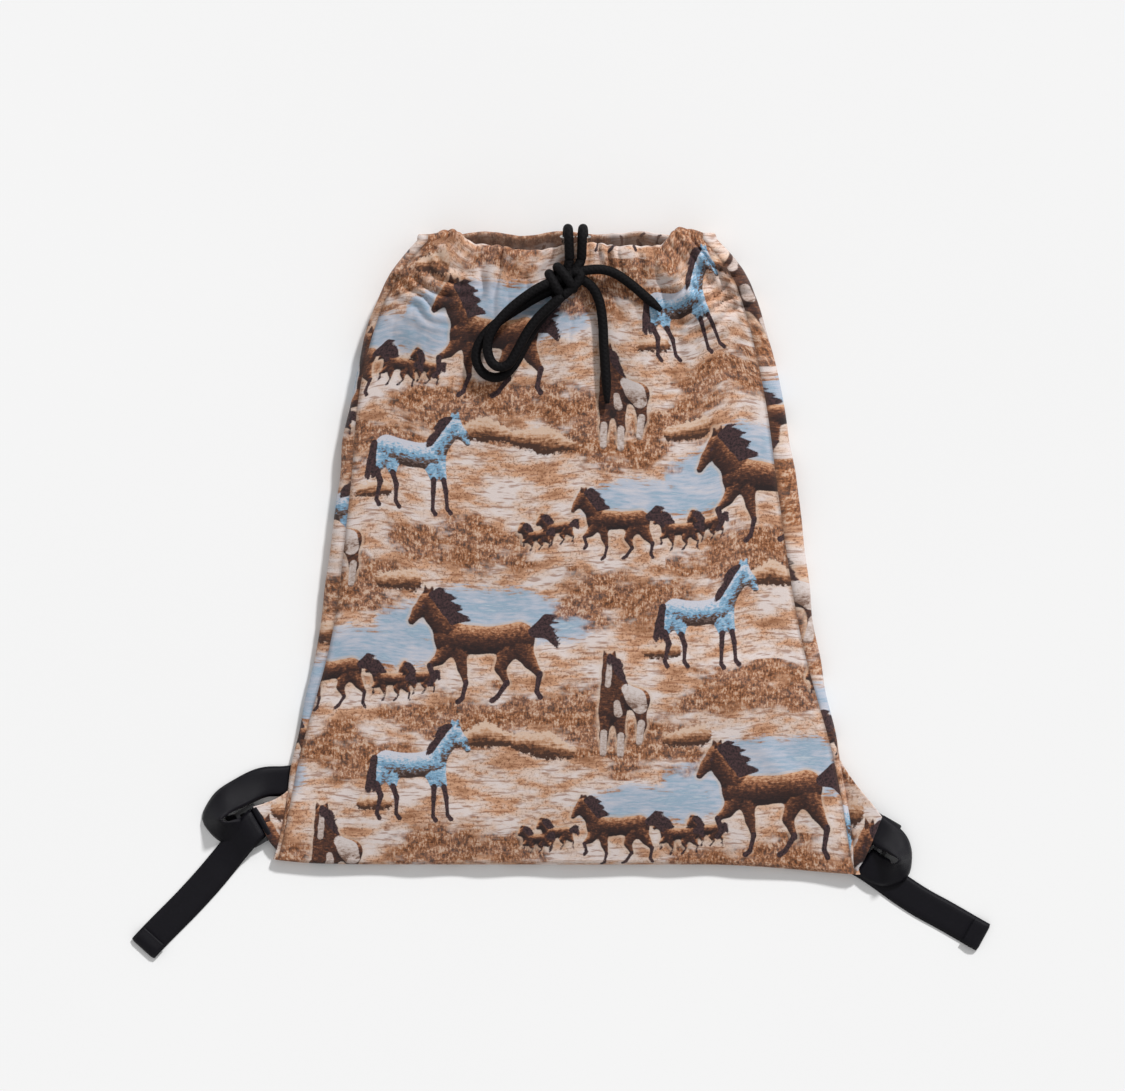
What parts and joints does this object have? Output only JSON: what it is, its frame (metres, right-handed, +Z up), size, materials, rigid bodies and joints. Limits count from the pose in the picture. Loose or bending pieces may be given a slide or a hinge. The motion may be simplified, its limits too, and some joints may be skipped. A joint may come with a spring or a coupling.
{
  "type": "drawstring backpack",
  "caption": "Flat-lying canvas drawstring backpack with a gathered mouth, a corded bow, webbing straps and lower corner sliders.",
  "frame": {"origin": "on the surface under the back panel, in the middle of the bag, half way between its bottom edge and its mouth", "axes": "+X to the right and +Y towards the mouth as seen from the front panel's side, +Z up out of the front panel"},
  "size_m": [0.5693, 0.4847, 0.0439],
  "materials": {
    "printed_canvas": "woven canvas with a printed landscape in browns, cream and pale blue",
    "black_webbing": "smooth black satin-like webbing",
    "black_cord": "black braided cord, matt",
    "eyelet_metal": "nickel plated",
    "slider_plastic": "black moulded plastic"
  },
  "bodies": {
    "root": {"front_panel": "printed_canvas", "back_panel": "printed_canvas", "left_gusset": "printed_canvas", "right_gusset": "printed_canvas", "bottom_strip": "printed_canvas", "front_casing": "printed_canvas", "back_casing": "printed_canvas", "casing_cord": "black_cord", "left_eyelet": "eyelet_metal", "right_eyelet": "eyelet_metal", "left_cord_strand": "black_cord", "right_cord_strand": "black_cord", "strap_anchor_patch": "printed_canvas", "left_shoulder_strap": "black_webbing", "right_shoulder_strap": "black_webbing", "left_strap_loop": "black_webbing"},
    "bow": {"bow_knot": "black_cord", "outer_bow_loop": "black_cord", "inner_bow_loop": "black_cord", "long_cord_tail": "black_cord", "short_cord_tail": "black_cord"},
    "left_tab_end": {"left_tab": "printed_canvas", "left_slider_keeper": "black_webbing", "left_slider": "slider_plastic"},
    "right_tab_end": {"right_tab": "printed_canvas", "right_slider_keeper": "black_webbing", "right_slider": "slider_plastic", "right_strap_loop": "black_webbing", "right_strap_return": "black_webbing"},
    "left_tail": {"left_strap_tail": "black_webbing"},
    "right_tail": {"right_strap_tail": "black_webbing"}
  },
  "joints": [
    {"name": "bow_swing", "type": "hinge", "parent": "root", "child": "bow", "pos_m": [0, 0.1906, 0.0405], "axis": [-1, 0, 0], "range_deg": [0, 90]},
    {"name": "left_tab_fold", "type": "hinge", "parent": "root", "child": "left_tab_end", "pos_m": [-0.1855, -0.152, 0.0062], "axis": [0.2042, 0.9789, 0], "range_deg": [0, 45]},
    {"name": "right_tab_fold", "type": "hinge", "parent": "root", "child": "right_tab_end", "pos_m": [0.1882, -0.16, 0.0062], "axis": [0.1907, -0.9816, 0], "range_deg": [0, 45]},
    {"name": "left_tail_lift", "type": "hinge", "parent": "left_tab_end", "child": "left_tail", "pos_m": [-0.2075, -0.1826, 0.0067], "axis": [-0.7425, 0.6698, 0], "range_deg": [0, 100]},
    {"name": "right_tail_lift", "type": "hinge", "parent": "right_tab_end", "child": "right_tail", "pos_m": [0.2175, -0.2252, 0.0018], "axis": [-0.4771, -0.8789, 0], "range_deg": [0, 70]}
  ]
}
